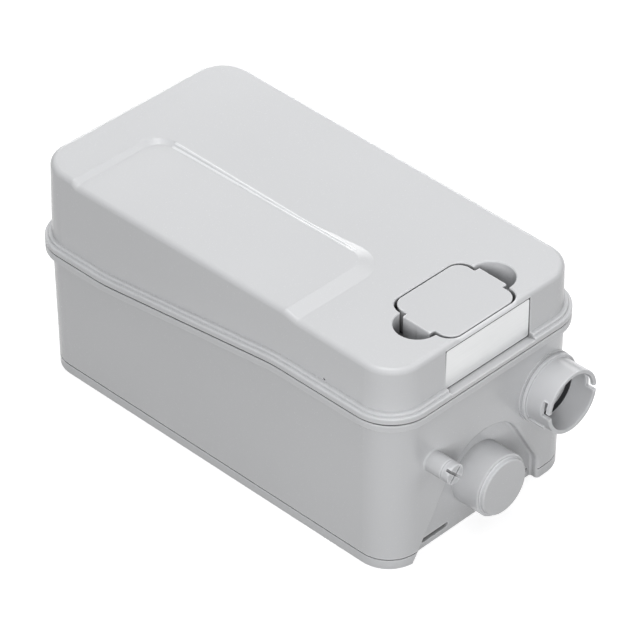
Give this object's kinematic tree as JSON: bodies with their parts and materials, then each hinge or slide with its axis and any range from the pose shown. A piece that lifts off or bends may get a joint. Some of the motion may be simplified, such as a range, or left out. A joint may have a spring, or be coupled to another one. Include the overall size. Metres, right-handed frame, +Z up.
{
  "type": "sewage lifting unit",
  "caption": "Low floor-standing lifting unit: a grey tank with a lift-off lid, a closed inlet pipe, a discharge socket with a non-return valve, and a pump with its motor inside.",
  "frame": {"origin": "middle of the tank's footprint, on the floor", "axes": "+Z up, -Y towards the end with the ports, +X to the right seen from that end"},
  "size_m": [0.165, 0.3253, 0.1484],
  "materials": {
    "casing": "fine moulded texture, light grey",
    "fittings": "smooth moulded, light grey",
    "rubber": "matte black",
    "pump_plastic": "moulded, dark grey",
    "motor_alloy": "die-cast, matte",
    "steel": "bright",
    "laminations": "oiled sheet steel",
    "copper": "enamelled copper",
    "control_plastic": "moulded, mid grey",
    "board": "green laminate",
    "label": "printed film, left blank",
    "carbon": "open porous block"
  },
  "bodies": {
    "tank": {"tank": "casing", "discharge_socket": "fittings", "socket_nut": "fittings", "valve_seat": "fittings", "valve_nut": "fittings", "gland_body": "fittings", "gland_locknut": "fittings", "lid_gasket": "rubber", "wall_seal": "rubber", "mouth_seal": "rubber", "discharge_hose": "rubber", "gland_seal": "rubber", "pump_mounts": "rubber", "diaphragm": "rubber", "shaft_seal": "rubber", "deck": "pump_plastic", "deck_posts": "pump_plastic", "pump_casing": "pump_plastic", "suction_plate": "pump_plastic", "motor_housing": "motor_alloy", "motor_cap": "motor_alloy", "flap_pin": "steel", "hose_clamps": "steel", "deck_screws": "steel", "plate_screws": "steel", "motor_screws": "steel", "lower_bearing": "steel", "upper_bearing": "steel", "capacitor_clip": "steel", "stator_stack": "laminations", "stator_windings": "copper", "control_box": "control_plastic", "control_cover": "control_plastic", "terminal_block": "control_plastic", "switch_housing": "control_plastic", "dip_bell": "control_plastic", "microswitch": "control_plastic", "capacitor": "control_plastic", "control_board": "board"},
    "lid": {"lid": "casing", "rating_plate": "label", "cover_seal": "rubber"},
    "filter_cover": {"filter_cover": "casing", "carbon_filter": "carbon"},
    "rotor": {"shaft": "steel", "impeller": "pump_plastic", "impeller_nut": "steel", "rotor_core": "laminations"},
    "flap": {"valve_flap": "fittings"},
    "plug_ring": {"plug_seal": "rubber"},
    "plug": {"drain_plug": "fittings"},
    "gland_nut": {"gland_nut": "fittings"},
    "plunger": {"plunger": "control_plastic"},
    "switch_button": {"switch_button": "control_plastic"}
  },
  "joints": [
    {"name": "lid_lift", "type": "slide", "parent": "tank", "child": "lid", "axis": [0, 0, 1], "range_m": [0, 0.09]},
    {"name": "cover_lift", "type": "slide", "parent": "lid", "child": "filter_cover", "axis": [0, 0, 1], "range_m": [0, 0.045]},
    {"name": "motor_spin", "type": "hinge", "parent": "tank", "child": "rotor", "pos_m": [0, 0.062, 0.08], "axis": [0, 0, 1], "continuous": true},
    {"name": "flap_swing", "type": "hinge", "parent": "tank", "child": "flap", "pos_m": [0.05, -0.1152, 0.0792], "axis": [-1, 0, 0], "range_deg": [0, 65]},
    {"name": "plug_travel", "type": "slide", "parent": "tank", "child": "plug_ring", "axis": [0, -1, 0], "range_m": [0, 0.012]},
    {"name": "plug_turn", "type": "hinge", "parent": "plug_ring", "child": "plug", "pos_m": [-0.045, -0.1585, 0.0695], "axis": [0, -1, 0], "range_deg": [0, 2160]},
    {"name": "gland_nut_turn", "type": "hinge", "parent": "tank", "child": "gland_nut", "pos_m": [-0.04, 0.1525, 0.062], "axis": [0, 1, 0], "range_deg": [0, 720]},
    {"name": "plunger_rise", "type": "slide", "parent": "tank", "child": "plunger", "axis": [0, 0, 1], "range_m": [0, 0.002], "stiffness_N_per_m": 400},
    {"name": "button_press", "type": "slide", "parent": "tank", "child": "switch_button", "axis": [0, 0, 1], "range_m": [0, 0.002], "stiffness_N_per_m": 100}
  ],
  "couplings": [
    {"joint": "plug_turn", "follows": "plug_travel", "rad_per_m": 3141.6},
    {"joint": "button_press", "follows": "plunger_rise", "ratio": 1}
  ]
}
